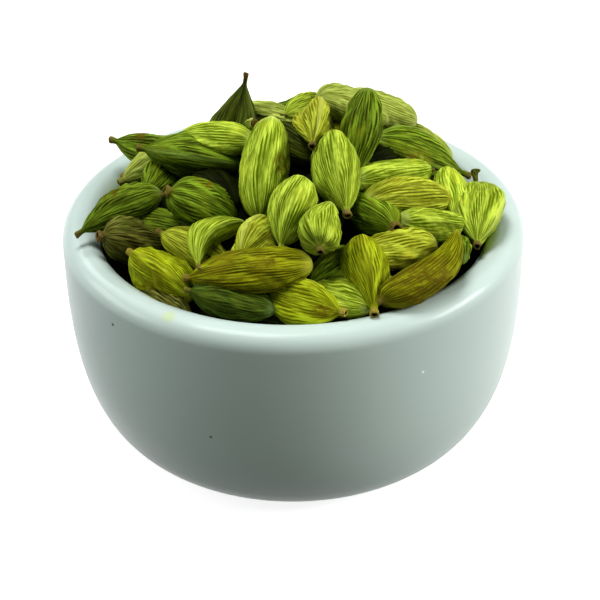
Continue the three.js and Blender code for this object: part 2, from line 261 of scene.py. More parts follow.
# Limits of a filling pod's other values, in the order in which they are drawn
FILL_LIMITS = {
    "fullest": (0.45, 0.6),
    "bow": (-1, 1),
    "point": (0.4, 0.7),
    "ribs": (0.06, 0.24),
    "lobes": (0.04, 0.12),
    "turn": (0, 360),
    "stalk": (0.65, 0.9),
}
HEADINGS_TRIED = 8
# Places along a pod where its distance to the others is measured
PLACES_MEASURED = (0.15, 0.5, 0.85)
GOLDEN_ANGLE = math.pi * (3 - math.sqrt(5))
# Each kind of husk has its own seeds for the skins of its pods
SEEDS_PER_KIND = 100

# Marks on the glaze: place in mm, size in mm and colour
GLAZE_MARKS = (
    ((-29.6, -26.9, 35.4), 0.3, "#3A3E30"),
    ((-14.0, -36.7, 19.6), 0.25, "#4A4E46"),
    ((20.5, -34.3, 30.1), 0.3, "#F4F8F4"),
    ((-20.0, -32.2, 40.2), 1.2, "#C2D2B0"),
)

# Size in mm of the clouds in the glaze, and of those on the core
GLAZE_CLOUD = 22.2
CORE_CLOUD = 4.545

# Husk colours of each kind of pod: rib, hollow between ribs, patch, tip and stalk. The hollows are
# darker than the ribs partly as painted shade in the grooves.
HUSKS = {
    "fresh": ("#C6DA54", "#5E7206", "#BCC63E", "#C8D876", "#8E8044"),
    "ripe": ("#C6D24A", "#646406", "#BEBA3A", "#C6CE68", "#887840"),
    "golden": ("#B6C42A", "#606404", "#A29E1E", "#BEC646", "#B4A44A"),
    "olive": ("#A2A61E", "#484602", "#7E7412", "#B0B242", "#A89448"),
    "deep": ("#88A430", "#363E04", "#7E861C", "#8EA650", "#807438"),
    "grey": ("#5E7628", "#2A300A", "#5E6A1C", "#768E54", "#9C9848"),
    "dark": ("#5C6C26", "#262808", "#4C5014", "#70803E", "#70582A"),
    "pale": ("#BCCA68", "#727C2A", "#BCC060", "#C0CC7E", "#98984E"),
    "browned": ("#82843E", "#2A2806", "#4C5614", "#787A30", "#867444"),
    # painted shade: near-black husks for the deep pods that only show in the gaps
    "shaded": ("#28320E", "#101004", "#1E240A", "#28320E", "#2C2612"),
}
STALK_CRACK = "#2A2610"
# painted shade at the bottom of the stalk's hole
STALK_HOLE_SHADE = "#1C0F04"
# brown of the scars and of the patches of painted shade
SCAR_AND_SHADE_BROWN = "#665812"
SPECK_BROWN = "#645212"

# Sizes in mm of the husk's patterns: the width of its fibres, which are ten times as long,
# and how far apart its blotches, pale dots and crumples are
FIBRE_WIDTH = 0.3125
FIBRE_STRETCH = 10
BLOTCH_SPACING = 5.0
DOT_SPACING = 2 / 9
CRUMPLE_SPACING = 10 / 11
# How high the fibres and the crumples stand, in mm
FIBRE_HEIGHT = 0.2
CRUMPLE_HEIGHT = 0.25

# Soft lights round the bowl: place and size in metres, power in watts and colour
Softbox = namedtuple("Softbox", "name place size power colour")
SOFTBOXES = (
    Softbox("right_softbox", (0.81, -0.07, 0.40), (0.45, 0.26), 5.9, (1.0, 0.995, 0.98)),
    Softbox("left_softbox", (-0.80, 0.06, 0.44), (0.60, 0.34), 3.3, (0.98, 1.0, 0.99)),
    Softbox("back_softbox", (-0.40, 0.62, 0.60), (0.34, 0.20), 1.3, (0.99, 1.0, 1.0)),
    Softbox("overhead_softbox", (-0.18, 0.10, 0.95), (0.42, 0.36), 5.6, (1.0, 1.0, 0.99)),
    Softbox("bounce_card", (0.20, -0.70, 0.12), (0.60, 0.25), 0.72, (0.96, 1.0, 0.88)),
    Softbox("edge_strip", (0.62, -0.29, 0.64), (0.45, 0.012), 0.9, (1.0, 1.0, 1.0)),
)
LIGHTS_AIM = (0.0, 0.0, 0.05)
ROOM_COLOUR = (0.90, 1.0, 0.95, 1.0)
ROOM_STRENGTH = 0.04
# The floor's half width and the camera's sensor in mm, and the nearest it sees in metres
FLOOR_HALF_WIDTH = 3000.0
SENSOR_WIDTH = 36.0
NEAREST_SEEN = 0.01


def linear(hex_colour):
    """sRGB hex to linear RGBA."""
    parts = [int(hex_colour[i:i + 2], 16) / 255 for i in (1, 3, 5)]
    return (*(c / 12.92 if c <= 0.04045 else ((c + 0.055) / 1.055) ** 2.4 for c in parts), 1.0)


def add_node(tree, kind, inputs=(), **settings):
    """Adds a node, sets its properties, and gives each input a value or links a socket to it."""
    node = tree.nodes.new(kind)
    for name, value in settings.items():
        setattr(node, name, value)
    for key, value in dict(inputs).items():
        if isinstance(value, bpy.types.NodeSocket):
            tree.links.new(value, node.inputs[key])
        else:
            node.inputs[key].default_value = value
    return node


# ---------------------------------------------------------------- meshes

def tube_faces(rings, sides):
    """Quads between neighbouring rings of a closed tube, and triangles that close its first
    and last ring onto the two poles that follow the rings' points."""
    ring, side = np.meshgrid(np.arange(rings - 1), np.arange(sides), indexing="ij")
    a = ring * sides + side
    b = ring * sides + (side + 1) % sides
    quads = np.stack([a, b, b + sides, a + sides], axis=-1).reshape(-1, 4)
    count = rings * sides
    i = np.arange(sides)
    j = (i + 1) % sides
    last = count - sides
    triangles = np.concatenate([
        np.stack([np.full(sides, count), j, i], axis=-1),
        np.stack([np.full(sides, count + 1), last + i, last + j], axis=-1),
    ])
    return quads, triangles


def mesh_piece(name, material, points, quads, triangles, attributes=(), uv=None):
    """Makes a smooth-shaded piece from arrays in mm, with its point attributes and UV map."""
    mesh = bpy.data.meshes.new(name)
    corners = np.concatenate([quads.ravel(), triangles.ravel()]).astype(np.int32)
    sizes = np.concatenate([np.full(len(quads), 4), np.full(len(triangles), 3)])
    starts = np.concatenate([[0], np.cumsum(sizes)[:-1]]).astype(np.int32)
    mesh.vertices.add(len(points))
    mesh.vertices.foreach_set("co", (points * MM).astype(np.float32).ravel())
    mesh.loops.add(len(corners))
    mesh.loops.foreach_set("vertex_index", corners)
    mesh.polygons.add(len(sizes))
    mesh.polygons.foreach_set("loop_start", starts)
    mesh.update(calc_edges=True)
    mesh.validate()
    mesh.shade_smooth()
    for key, values in dict(attributes).items():
        kind, field = ("FLOAT_VECTOR", "vector") if values.ndim == 2 else ("FLOAT", "value")
        layer = mesh.attributes.new(key, kind, "POINT")
        layer.data.foreach_set(field, values.astype(np.float32).ravel())
    if uv is not None:
        layer = mesh.uv_layers.new(name="skin")
        layer.data.foreach_set("uv", uv[corners].astype(np.float32).ravel())
    mesh.materials.append(material)
    piece = bpy.data.objects.new(name, mesh)
    bpy.context.collection.objects.link(piece)
    return piece


def lathe_arrays(profile, sides):
    """A profile of (radius, height) points turned about Z, its two ends closed on the axis."""
    turn = np.arange(sides) * 2 * math.pi / sides
    radius, height = profile[:, :1], profile[:, 1:]
    x, y = radius * np.cos(turn), radius * np.sin(turn)
    rings = np.stack([x, y, np.broadcast_to(height, x.shape)], axis=-1)
    poles = [[0, 0, profile[0, 1]], [0, 0, profile[-1, 1]]]
    return np.concatenate([rings.reshape(-1, 3), poles]), *tube_faces(len(profile), sides)


def arc(centre, radius, start, end, steps):
    """Points of a circular arc, from one angle to another."""
    angle = np.linspace(start, end, steps)
    return np.array(centre) + radius * np.stack([np.cos(angle), np.sin(angle)], axis=-1)


def bowl_profile(size):
    """The bowl's outline in mm from under its middle round to the floor of its well.

    The side is a superellipse: its radius grows from the base to the widest with
    (1 - (1 - height / rise) ^ flattening) ^ (1 / fullness). The lip has two rounded edges,
    the inner wall is straight, and a quarter circle leads it into the floor."""
    base, edge = size.base_radius / MM, size.lip_rounding / MM
    floor, corner = size.floor / MM, size.well_corner / MM
    wall = BOWL_RADIUS - size.lip_width / MM
    rise = BOWL_HEIGHT - size.shoulder_drop / MM
    z = rise * np.linspace(0, 1, SIDE_STEPS)[:-1] ** SIDE_CROWDING
    depth = (1 - z / rise) ** size.flattening
    side = base + (BOWL_RADIUS - base) * (1 - depth) ** (1 / size.fullness)
    edge_z = BOWL_HEIGHT - edge
    return np.concatenate([
        [[base / 2, 0]],
        np.stack([side, z], axis=-1),
        arc((BOWL_RADIUS - edge, edge_z), edge, 0, math.pi / 2, OUTER_EDGE_STEPS),
        arc((wall + edge, edge_z), edge, math.pi / 2, math.pi, INNER_EDGE_STEPS),
        arc((wall - corner, floor + corner), corner, 0, -math.pi / 2, WELL_STEPS),
        [[(wall - corner) / 2, floor]],
    ])


def core_profile(size):
    """The core's outline in mm, a gap inside the bowl's well, with a flat top for now."""
    wall = BOWL_RADIUS - size.lip_width / MM - CORE_GAP
    low = size.floor / MM + CORE_GAP
    corner = size.well_corner / MM - CORE_GAP
    edge = BOWL_HEIGHT - CORE_EDGE_DROP
    across = np.linspace(1, 0, CORE_TOP_STEPS)[:-1] * wall
    return np.concatenate([
        [[(wall - corner) / 2, low]],
        arc((wall - corner, low + corner), corner, -math.pi / 2, 0, CORE_CORNER_STEPS),
        np.stack([across, np.full(len(across), edge)], axis=-1),
        [[CORE_MIDDLE_RADIUS, edge]],
    ])


# ---------------------------------------------------------------- the heap

def bell(x, y, centre, width):
    """A bell curve of the distance to a centre, 1 at the centre."""
    return np.exp(-((x - centre[0]) ** 2 + (y - centre[1]) ** 2) / width ** 2)


def heap_height(x, y):
    """Height of the pod axes above the lip: a dome that falls with distance to the power 1.5,
    with a bell-shaped swell behind the middle and a dip at the far left."""
    fall = (HEAP_RISE - HEAP_RIM_RISE) * (np.hypot(x, y) / HEAP_RIM_RADIUS) ** 1.5
    return (HEAP_RISE - fall + SWELL_RISE * bell(x, y, SWELL_CENTRE, SWELL_WIDTH)
            - DIP_DEPTH * bell(x, y, DIP_CENTRE, DIP_WIDTH))


def distance_to_pod(point, stem, tip):
    """Distance from a point to the straight line between a pod's ends."""
    axis = tip - stem
    along = np.clip(np.dot(point - stem, axis) / np.dot(axis, axis), 0, 1)
    return np.linalg.norm(stem + along * axis - point)


def pod_on_slope(middle, heading, length, lift):
    """Both ends of a straight pod along the heap's slope, kept inside the lip."""
    ends = []
    for side in (-1, 1):
        x = middle[0] + side * length / 2 * math.cos(heading)
        y = middle[1] + side * length / 2 * math.sin(heading)
        inwards = min(1, FILL_RADIUS / math.hypot(x, y))
        x, y = x * inwards, y * inwards
        ends.append(np.array([x, y, heap_height(x, y) + lift]))
    return ends


def lies_clear(stem, tip, taken):
    """True if no measured place along a pod is within the spacing of another pod."""
    return all(
        distance_to_pod(stem + along * (tip - stem), *other) > FILL_SPACING
        for along in PLACES_MEASURED for other in taken
    )


def fill_pods(seed):
    """Pods on a sunflower spiral over the heap, layer by layer, each with the first of
    several headings that lies clear of the others."""
    draw = np.random.default_rng(seed)
    taken = [(np.array(pod.stem, float), np.array(pod.tip, float)) for pod in SHOWN_PODS]
    pods = []
    for lift, nearest in FILL_LAYERS:
        for k in range(FILL_PLACES):
            radius = FILL_RADIUS * math.sqrt((k + 0.5) / FILL_PLACES)
            middle = (radius * math.cos(k * GOLDEN_ANGLE), radius * math.sin(k * GOLDEN_ANGLE))
            length, breadth = draw.uniform(*FILL_LENGTHS), draw.uniform(*FILL_BREADTHS)
            first = draw.uniform(0, 2 * math.pi)
            if middle[1] < nearest:
                continue
            headings = (first + math.pi * i / HEADINGS_TRIED for i in range(HEADINGS_TRIED))
            tried = (pod_on_slope(middle, heading, length, lift) for heading in headings)
            ends = next((ends for ends in tried if lies_clear(*ends, taken)), None)
            if ends is not None:
                # deep pods near the front get the near-black husk of painted shade
                in_shade = lift < SHADED_LIFT and middle[1] < SHADED_Y
                kind = "shaded" if in_shade else FILL_KINDS[len(pods) % len(FILL_KINDS)]
                drawn = {name: draw.uniform(*limits) for name, limits in FILL_LIMITS.items()}
                pods.append(Pod(*ends, breadth, kind=kind, **drawn))
                taken.append(ends)
    return pods


def smooth_wave(draw, turn, along, rounds, lengths, count):
    """Sines in turn and length with drawn phases, added up and divided by the root of their
    number, so that the sum stays mostly between -1.5 and 1.5."""
    total = sum(
        np.sin(draw.integers(*rounds) * turn + draw.uniform(*lengths) * along
               + draw.uniform(0, 2 * math.pi))
        for _ in range(count)
    )
    return total / math.sqrt(count)


def swell(along, fullest, point):
    """The spindle's radius: the length so far to one power times the length left to another,
    over what that is at its fullest place. Smaller powers make blunter ends."""
    rise = point * fullest / (1 - fullest)
    top = fullest ** rise * (1 - fullest) ** point
    return along ** rise * (1 - along) ** point / top


def pod_axes(pod):
    """A pod's length and its three unit axes: along it, to its right and up."""
    span = np.array(pod.tip, float) - np.array(pod.stem, float)
    length = np.linalg.norm(span)
    axis = span / length
    right = np.array([axis[1], -axis[0], 0]) / math.hypot(axis[0], axis[1])
    return length, axis, right, np.cross(right, axis)


def with_poles(values, first, last):
    """A grid's values in one row, followed by those of its two poles."""
    return np.concatenate([values.reshape(-1, *values.shape[2:]), [first, last]])


def pod_arrays(pod, rib_spacing, rings, seed):
    """One pod as a function of turn and place along its axis.

    The radius is the spindle's, times three soft lobes and slow lumps, plus ribs that run
    from end to end. The mesh's columns follow the ribs as they swing sideways. Towards
    the stem the spindle blends into a short stalk whose cut end is a rim round a hole."""
    draw = np.random.default_rng(seed)
    length, axis, right, up = pod_axes(pod)
    rib_count = round(math.pi * pod.breadth / rib_spacing)
    sides = rib_count * COLUMNS_PER_RIB
    column = np.arange(sides)[None, :] * 2 * math.pi / sides
    stalk = np.array(STALK_RINGS)
    body = (0.5 - 0.5 * np.cos(np.linspace(*RING_SPAN, rings) * math.pi))[:, None]
    along = np.concatenate([stalk[:, :1] * STALK_LENGTH / length, body])
    everywhere = np.ones((len(along), sides))

    # the ribs' columns twist and swing from side to side
    inside = np.clip(along, 0, 1)
    twist = draw.uniform(-RIB_TWIST, RIB_TWIST) * (inside - 0.5)
    turn = column + twist + RIB_SWING * smooth_wave(draw, column, inside, *SWING_WAVES)

    # three lobes, slow lumps and fine crinkles swell the spindle by their shares
    third = 1.5 * (turn - math.radians(pod.turn))
    ridge = 1 - np.abs(np.sin(third))
    lobes = pod.lobes * (LOBE_WAVE * np.cos(2 * third) + LOBE_RIDGE * ridge - LOBE_GIRTH)
    lumps = LUMPS * smooth_wave(draw, turn, along, *LUMP_WAVES)
    crinkle = CRINKLE * smooth_wave(draw, turn, along, *CRINKLE_WAVES)
    shape = (1 + lobes + lumps + crinkle)[len(stalk):]
    radius = pod.breadth / 2 * swell(body, pod.fullest, pod.point) * shape

    # ribs of changing strength, with folds across several of them, fade at both ends
    wave = np.abs(np.sin(rib_count / 2 * column)) ** RIB_POWER * everywhere
    change = smooth_wave(draw, column, along, *STRENGTH_WAVES)
    strength = RIB_STRENGTH + RIB_STRENGTH_CHANGE * change
    folds = smooth_wave(draw, column, along, *FOLD_WAVES)
    fade = np.sqrt(np.sin(math.pi * body ** 0.9))
    relief = wave * np.clip(strength, *RELIEF_LIMITS) + FOLDS * folds
    radius = radius + pod.ribs * fade * relief[len(stalk):]

    # adding cubes blends the neck into the body
    near = np.exp(-body * length / NECK_LENGTH)
    neck = pod.stalk * (NECK_SHARES[0] + NECK_SHARES[1] * near) * near ** (1 / 3)
    radius = (radius ** 3 + neck ** 3) ** (1 / 3)
    wobble = 1 + RIM_WOBBLE * smooth_wave(draw, column, stalk[:, :1], *RIM_WAVES)
    radius = np.concatenate([stalk[:, 1:2] * pod.stalk * wobble, radius])

    # the axis bows in a parabola and wavers by less than one slow wave
    waver = AXIS_WAVER * np.sin(WAVER_ASIDE * along + draw.uniform(0, 6))
    aside = 4 * pod.bow * along * (1 - along) + waver
    lift = AXIS_WAVER * np.sin(WAVER_UP * along + draw.uniform(0, 6))
    start = np.array(pod.stem, float) + np.array([0, 0, BOWL_HEIGHT])
    centre = start + along * length * axis + aside * right + lift * up
    points = (centre[:, None, :] + (radius * np.cos(turn))[:, :, None] * right
              + (radius * np.sin(turn))[:, :, None] * up)

    # what the husk's material reads: the skin's own place in mm gives it an even grain
    wave[:len(stalk)] = STALK_RIB_STRENGTH
    # the vein field is lowest in the grooves, where the hollows' colour is partly painted shade
    vein_and_groove_shade = 1 - (1 - wave) * np.clip(strength, *VEIN_AND_GROOVE_SHADE_LIMITS)
    grain = np.stack([
        pod.breadth / 2 * np.cos(turn), pod.breadth / 2 * np.sin(turn), along * length * everywhere,
    ], axis=-1) + draw.uniform(0, GRAIN_START, 3)
    # the brown patch is a scar on some pods and painted shade over the shaded side of others
    scar_and_shade_along, scar_and_shade_turn, scar_and_shade_size = pod.scar
    round_scar_and_shade = pod.breadth * np.sin((column - math.radians(scar_and_shade_turn)) / 2)
    from_scar_and_shade = np.hypot((along - scar_and_shade_along) * length, round_scar_and_shade)
    attributes = {
        "scar": with_poles(np.exp(-(from_scar_and_shade / max(scar_and_shade_size, 0.001)) ** 2), 0, 0),
        "keel": with_poles(ridge ** 3 * min(1, pod.lobes / KEELED_LOBES), 0, 0),
        "zone": with_poles(np.concatenate([stalk[:, 2:], body]) * everywhere, -3, 1),
        "rib": with_poles(vein_and_groove_shade, 0, 0.5),
        "grain": with_poles(grain, grain[0, 0], grain[-1, 0]),
        # painted shade: the husk is darker where the folds sink in
        "fold_shade": with_poles(0.5 + 0.3 * folds, 0.5, 0.5),
        "tint": np.full(everywhere.size + 2, draw.uniform(0, 1)),
    }
    uv = np.stack([
        with_poles(column / (2 * math.pi) * everywhere, 0.5, 0.5),
        with_poles(along * everywhere, along[0, 0], 1),
    ], axis=-1)
    points = with_poles(points, centre[0], centre[-1] + TIP_LENGTH * axis)
    return points, *tube_faces(len(along), sides), attributes, uv


def joined_pods(name, pods, rib_spacing, rings, first_seed, material):
    """Joins the arrays of many pods into one piece, each pod's faces counted on from the last."""
    arrays = [pod_arrays(pod, rib_spacing, rings, first_seed + i) for i, pod in enumerate(pods)]
    points, quads, triangles, attributes, uvs = zip(*arrays)
    starts = np.cumsum([0, *(len(each) for each in points)])
    return mesh_piece(
        name, material, np.concatenate(points),
        np.concatenate([faces + start for faces, start in zip(quads, starts)]),
        np.concatenate([faces + start for faces, start in zip(triangles, starts)]),
        {key: np.concatenate([each[key] for each in attributes]) for key in attributes[0]},
        np.concatenate(uvs),
    )


# ---------------------------------------------------------------- materials

def empty_material(name):
    """A material without nodes, and its tree."""
    material = bpy.data.materials.new(name)
    material.use_nodes = True
    material.node_tree.nodes.clear()
    return material, material.node_tree


def with_shader(material, inputs):
    """Gives a material its Principled shader, with these inputs, and its output."""
    tree = material.node_tree
    shader = add_node(tree, "ShaderNodeBsdfPrincipled", inputs)
    add_node(tree, "ShaderNodeOutputMaterial", {"Surface": shader.outputs["BSDF"]})
    return material


def glazed_stoneware(light, pooled):
    """White glaze with a cool green tint: a clear, even gloss over a soft body colour that
    pools slightly, with a few specks of dirt."""
    material, tree = empty_material("glazed_stoneware")
    place = add_node(tree, "ShaderNodeTexCoord").outputs["Object"]
    cloud = add_node(tree, "ShaderNodeTexNoise", {
        "Vector": place, "Scale": 1 / (GLAZE_CLOUD * MM), "Detail": 3.0, "Roughness": 0.5,
    }).outputs["Fac"]
    colour = add_node(tree, "ShaderNodeMix", {0: cloud, 6: pooled, 7: light},
                      data_type="RGBA").outputs[2]
    # a mark is full within half its size and has faded at 1.3 times it
    for middle, size, tint in GLAZE_MARKS:
        away = add_node(tree, "ShaderNodeVectorMath", {0: place, 1: [MM * c for c in middle]},
                        operation="DISTANCE").outputs["Value"]
        mark = add_node(tree, "ShaderNodeMapRange", {
            "Value": away, "From Min": 1.3 * size * MM, "From Max": 0.5 * size * MM,
        }, interpolation_type="SMOOTHSTEP").outputs["Result"]
        colour = add_node(tree, "ShaderNodeMix", {0: mark, 6: colour, 7: linear(tint)},
                          data_type="RGBA").outputs[2]
    return with_shader(material, {
        "Base Color": colour, "Roughness": 0.34, "Specular IOR Level": 0.15,
        "Coat Weight": 0.12, "Coat Roughness": 0.05,
    })


def husk(kind):
    """Dried cardamom husk: a papery skin, matt with a faint sheen. Its colour is built up in
    coats over the hollows between the ribs, darker partly as painted shade in the grooves:
    pale raised veins, painted shade where folds sink in, long dark fibres, yellow blotches,
    pale keels and tip, dots, brown scars and patches of painted shade, brown specks, and a
    tan cut stalk with painted shade in its hole."""
    rib, hollow, patch, tip, cut = (linear(colour) for colour in HUSKS[kind])
    material, tree = empty_material(f"husk_{kind}")
    fields = {
        name: add_node(tree, "ShaderNodeAttribute", attribute_name=name).outputs["Fac"]
        for name in ("zone", "rib", "fold_shade", "tint", "keel", "scar")
    }
    grain = add_node(tree, "ShaderNodeAttribute", attribute_name="grain").outputs["Vector"]
    drawn_out = add_node(tree, "ShaderNodeMapping", {
        "Vector": grain, "Scale": (1.0, 1.0, 1 / FIBRE_STRETCH)}).outputs["Vector"]
    for name, place, spacing, detail, roughness in (
        ("fibres", drawn_out, FIBRE_WIDTH, 3.0, 0.6),
        ("blotches", grain, BLOTCH_SPACING, 2.0, 0.5),
        ("dots", grain, DOT_SPACING, 1.0, 0.5),
        ("crumple", grain, CRUMPLE_SPACING, 4.0, 0.6),
    ):
        fields[name] = add_node(tree, "ShaderNodeTexNoise", {
            "Vector": place, "Scale": 1 / spacing, "Detail": detail, "Roughness": roughness,
        }).outputs["Fac"]

    # the stalk's cracks, and how brown the scars and the patches of painted shade are from place to
    # place
    cracked = add_node(tree, "ShaderNodeMapRange", {
        "Value": fields["crumple"], "From Min": 0.35, "From Max": 0.65,
        "To Min": 0.4, "To Max": 0.0,
    }, interpolation_type="SMOOTHSTEP").outputs["Result"]
    stalk = add_node(tree, "ShaderNodeMix", {0: cracked, 6: cut, 7: linear(STALK_CRACK)},
                     data_type="RGBA").outputs[2]
    uneven = add_node(tree, "ShaderNodeMapRange", {
        "Value": fields["crumple"], "From Min": 0.3, "From Max": 0.7,
    }, interpolation_type="SMOOTHSTEP").outputs["Result"]

    # each coat covers from its first share to its second as its field goes from low to high
    colour = hollow
    for name, low, high, first, second, coat in (
        # the ribs' pale crests over the hollows, whose darker colour is partly painted shade in the
        # grooves
        ("rib", 0.14, 0.72, 0.0, 1.0, rib),
        # painted shade where the folds sink in
        ("fold_shade", 0.0, 0.8, 0.5, 0.0, hollow),
        ("fibres", 0.42, 0.58, 0.65, 0.0, hollow),
        ("blotches", 0.50, 0.74, 0.0, 0.5, patch),
        ("keel", 0.3, 0.9, 0.0, 0.6, tip),
        ("zone", 0.88, 1.03, 0.0, 1.0, tip),
        ("dots", 0.77, 0.80, 0.0, 1.0, patch),
        # scars, and patches of painted shade on the shaded side of two pods
        ("scar", 0.2, 0.8, 0.0, uneven, linear(SCAR_AND_SHADE_BROWN)),
        ("crumple", 0.70, 0.75, 0.0, 1.0, linear(SPECK_BROWN)),
        ("zone", -0.85, 0.0, 1.0, 0.0, stalk),
        # painted shade darkens the bottom of the stalk's hole
        ("zone", -2.4, -1.5, 1.0, 0.0, linear(STALK_HOLE_SHADE)),
    ):
        share = add_node(tree, "ShaderNodeMapRange", {
            "Value": fields[name], "From Min": low, "From Max": high,
            "To Min": first, "To Max": second,
        }, interpolation_type="SMOOTHSTEP").outputs["Result"]
        colour = add_node(tree, "ShaderNodeMix", {0: share, 6: colour, 7: coat},
                          data_type="RGBA").outputs[2]

    # no two pods are equally light
    value = add_node(tree, "ShaderNodeMapRange", {
        "Value": fields["tint"], "To Min": 0.94, "To Max": 1.14}).outputs["Result"]
    tinted = add_node(tree, "ShaderNodeHueSaturation", {"Color": colour, "Value": value})
    raised = add_node(tree, "ShaderNodeBump", {
        "Height": fields["fibres"], "Strength": 0.9, "Distance": FIBRE_HEIGHT * MM})
    papery = add_node(tree, "ShaderNodeBump", {
        "Height": fields["crumple"], "Normal": raised.outputs["Normal"],
        "Strength": 0.6, "Distance": CRUMPLE_HEIGHT * MM})
    return with_shader(material, {
        "Base Color": tinted.outputs["Color"], "Normal": papery.outputs["Normal"],
        "Roughness": 0.5, "Specular IOR Level": 0.03,
    })


def shaded_husks():
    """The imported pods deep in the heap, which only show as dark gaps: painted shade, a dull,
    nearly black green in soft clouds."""
    material, tree = empty_material("shaded_husks")
    place = add_node(tree, "ShaderNodeTexCoord").outputs["Object"]
    cloud = add_node(tree, "ShaderNodeTexNoise", {
        "Vector": place, "Scale": 1 / (CORE_CLOUD * MM)}).outputs["Fac"]
    colour = add_node(tree, "ShaderNodeMix", {
        0: cloud, 6: linear("#0E1006"), 7: linear("#1C2008")}, data_type="RGBA").outputs[2]
    return with_shader(material, {
        "Base Color": colour, "Roughness": 0.9, "Specular IOR Level": 0.0})


def lit_white_acrylic(colour):
    """White acrylic lit a little from below, so that shadows on it stay faint."""
    material, _ = empty_material("lit_white_acrylic")
    return with_shader(material, {
        "Base Color": colour, "Roughness": 0.9,
        "Emission Color": linear("#FFFFFF"), "Emission Strength": 0.70,
    })


# ---------------------------------------------------------------- settings

class BowlSettings(bpy.types.PropertyGroup):
    """Sizes and colours of the bowl."""
    base_radius: bpy.props.FloatProperty(
        name="Base radius", description="Radius of the flat the bowl stands on",
        default=0.025, subtype="DISTANCE")
    shoulder_drop: bpy.props.FloatProperty(
        name="Shoulder drop", description="How far below the top the side turns into the lip",
        default=0.003, subtype="DISTANCE")
    flattening: bpy.props.FloatProperty(
        name="Side flattening", description="Superellipse exponent of the height", default=2.9)
    fullness: bpy.props.FloatProperty(
        name="Side fullness", description="Superellipse exponent of the radius", default=2.5)
    lip_width: bpy.props.FloatProperty(
        name="Lip width", description="Thickness of the lip", default=0.0065, subtype="DISTANCE")
    lip_rounding: bpy.props.FloatProperty(
        name="Lip rounding", description="Radius of the lip's two edges",
        default=0.003, subtype="DISTANCE")
    floor: bpy.props.FloatProperty(
        name="Floor thickness", description="Thickness of the bowl's floor",
        default=0.007, subtype="DISTANCE")
    well_corner: bpy.props.FloatProperty(
        name="Well corner", description="Radius of the round corner inside the bowl",
        default=0.016, subtype="DISTANCE")
    glaze: bpy.props.FloatVectorProperty(
        name="Glaze", description="Colour of the glaze",
        default=linear("#C5D4CF"), min=0.0, max=1.0, size=4, subtype="COLOR")
    pooled_glaze: bpy.props.FloatVectorProperty(
        name="Pooled glaze", description="Colour of the glaze where it pools",
        default=linear("#BFCFCA"), min=0.0, max=1.0, size=4, subtype="COLOR")


class HeapSettings(bpy.types.PropertyGroup):
    """Sizes of the heap and its seed."""
    core_depth: bpy.props.FloatProperty(
        name="Core depth", description="How far the core's surface lies below the pod axes",
        default=0.0065, subtype="DISTANCE")
    rib_spacing: bpy.props.FloatProperty(
        name="Rib spacing", description="Distance between the ribs of the pods that show",
        default=0.00052, precision=5, subtype="DISTANCE")
    seed: bpy.props.IntProperty(
        name="Seed", description="Starts the draws for the filling pods and for every skin",
        default=41)


class StageSettings(bpy.types.PropertyGroup):
    """Camera and floor."""
    distance: bpy.props.FloatProperty(
        name="Camera distance", description="From the middle of the lip to the camera",
        default=0.320, subtype="DISTANCE")
    elevation: bpy.props.FloatProperty(
        name="Camera elevation", description="Height angle of the camera above the lip",
        default=math.radians(30.0), subtype="ANGLE")
    pitch: bpy.props.FloatProperty(
        name="Camera pitch", description="How far the camera looks down",
        default=math.radians(32.755), subtype="ANGLE")
    yaw: bpy.props.FloatProperty(
        name="Camera yaw", description="How far the camera looks to the left",
        default=math.radians(-0.206), subtype="ANGLE")
    roll: bpy.props.FloatProperty(
        name="Camera roll", description="How far the camera is tipped about its own view",
        default=math.radians(-0.90), subtype="ANGLE")
    lens: bpy.props.FloatProperty(
        name="Lens", description="Focal length on a 36 mm sensor", default=110.59, unit="CAMERA")
    floor_colour: bpy.props.FloatVectorProperty(
        name="Floor", description="Colour of the floor",
        default=linear("#BCBDBC"), min=0.0, max=1.0, size=4, subtype="COLOR")


# ---------------------------------------------------------------- operators

class CARDAMOM_OT_bowl(bpy.types.Operator):
    """Turn the bowl's wall from its profile"""
    bl_idname = "cardamom.bowl"
    bl_label = "Bowl"

    def execute(self, context):
        size = context.scene.cardamom_bowl
        glaze = glazed_stoneware(tuple(size.glaze), tuple(size.pooled_glaze))
        bowl = mesh_piece("bowl_wall", glaze, *lathe_arrays(bowl_profile(size), BOWL_SIDES))
        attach(bowl, "root")
        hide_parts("bowl")
        return {"FINISHED"}


class CARDAMOM_OT_core(bpy.types.Operator):
    """Fill the bowl with the heap's hidden core"""
    bl_idname = "cardamom.core"
    bl_label = "Heap core"

    def execute(self, context):
        depth = context.scene.cardamom_heap.core_depth / MM
        profile = core_profile(context.scene.cardamom_bowl)
        points, *faces = lathe_arrays(profile, CORE_SIDES)
        # only the points of the flat top are this high, and they move onto the slope
        top = points[:, 2] > BOWL_HEIGHT - CORE_EDGE_DROP - 1
        slope = heap_height(points[:, 0], points[:, 1]) - depth
        points[top, 2] = BOWL_HEIGHT + slope[top]
        core = mesh_piece("heap_core", shaded_husks(), points, *faces)
        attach(core, "root")
        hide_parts("cardamom_pods")
        return {"FINISHED"}


class CARDAMOM_OT_pods(bpy.types.Operator):
    """Lay the pods over the core, one piece for each kind of husk"""
    bl_idname = "cardamom.pods"
    bl_label = "Pods"

    def execute(self, context):
        heap = context.scene.cardamom_heap
        groups = (
            ("shown", SHOWN_PODS, heap.rib_spacing / MM, SHOWN_RINGS),
            ("filling", fill_pods(heap.seed), HIDDEN_RIB_SPACING, HIDDEN_RINGS),
        )
        for number, kind in enumerate(HUSKS):
            material = husk(kind)
            for place, laid, rib_spacing, rings in groups:
                pods = [pod for pod in laid if pod.kind == kind]
                if pods:
                    piece = joined_pods(f"{kind}_pods_{place}", pods, rib_spacing, rings,
                                        heap.seed + SEEDS_PER_KIND * number, material)
                    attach(piece, "root")
                    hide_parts("cardamom_pods")
        return {"FINISHED"}


